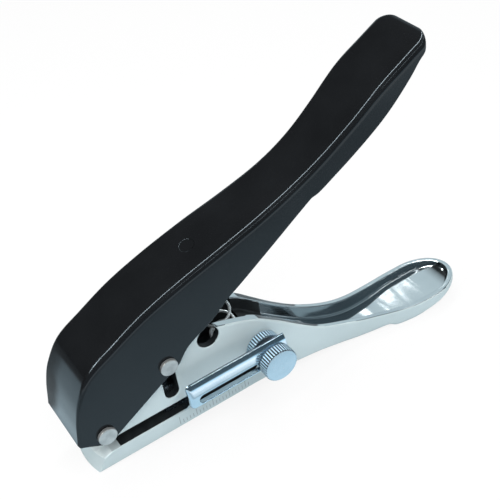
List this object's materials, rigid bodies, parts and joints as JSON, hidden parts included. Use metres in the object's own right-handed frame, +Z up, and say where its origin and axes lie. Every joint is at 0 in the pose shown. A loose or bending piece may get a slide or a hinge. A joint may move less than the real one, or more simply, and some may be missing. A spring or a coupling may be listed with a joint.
{
  "type": "single hole punch",
  "caption": "Hand-held pliers-type single hole punch with a plated cast frame, a black channel lever, a return spring and an adjustable paper stop.",
  "frame": {"origin": "on the flat underside of the jaw, in the mid-plane, straight below the lever's pivot pin", "axes": "+X from the nose to the handles, +Z up along the punch, +Y away from the side with the paper stop"},
  "size_m": [0.1228, 0.0266, 0.0895],
  "materials": {
    "plated_frame": "satin nickel plating",
    "black_lever": "glossy black enamel",
    "pin_steel": "bright",
    "tool_steel": "ground",
    "spring_steel": "bright wire",
    "black_stud": "glossy black enamel",
    "zinc_rail": "bright zinc",
    "zinc_knob": "bright zinc, knurled"
  },
  "bodies": {
    "frame": {"frame": "plated_frame", "guide_bush": "tool_steel", "die_bush": "tool_steel", "return_spring": "spring_steel"},
    "pivot": {"pivot_pin": "pin_steel"},
    "lever": {"lever": "black_lever", "spring_stud": "black_stud", "punch_pin": "pin_steel"},
    "punch": {"punch": "tool_steel"},
    "stop": {"stop_rail": "zinc_rail"},
    "clamp": {"clamp_screw": "zinc_knob"},
    "nut": {"thumb_nut": "zinc_knob"}
  },
  "joints": [
    {"name": "pivot_shift", "type": "slide", "parent": "frame", "child": "pivot", "axis": [-1, 0, 0], "range_m": [0, 0.00272]},
    {"name": "lever_pivot", "type": "hinge", "parent": "pivot", "child": "lever", "pos_m": [0, 0, 0.0142], "axis": [0, 1, 0], "range_deg": [0, 23.7], "stiffness_Nm_per_rad": 0.8, "springref_deg": -11.46, "deforming": ["return_spring"]},
    {"name": "punch_slide", "type": "slide", "parent": "frame", "child": "punch", "axis": [0, 0, -1], "range_m": [0, 0.00873]},
    {"name": "stop_slide", "type": "slide", "parent": "frame", "child": "stop", "axis": [1, 0, 0], "range_m": [0, 0.018]},
    {"name": "clamp_turn", "type": "hinge", "parent": "frame", "child": "clamp", "pos_m": [0.04635, 0, 0.01245], "axis": [0, 1, 0], "range_deg": [-360, 0]},
    {"name": "nut_turn", "type": "hinge", "parent": "frame", "child": "nut", "pos_m": [0.04635, 0, 0.01245], "axis": [0, 1, 0], "range_deg": [-360, 0]}
  ],
  "couplings": [
    {"joint": "pivot_shift", "follows": "lever_pivot", "m_per_rad": 0.006578},
    {"joint": "punch_slide", "follows": "lever_pivot", "m_per_rad": 0.021112}
  ]
}
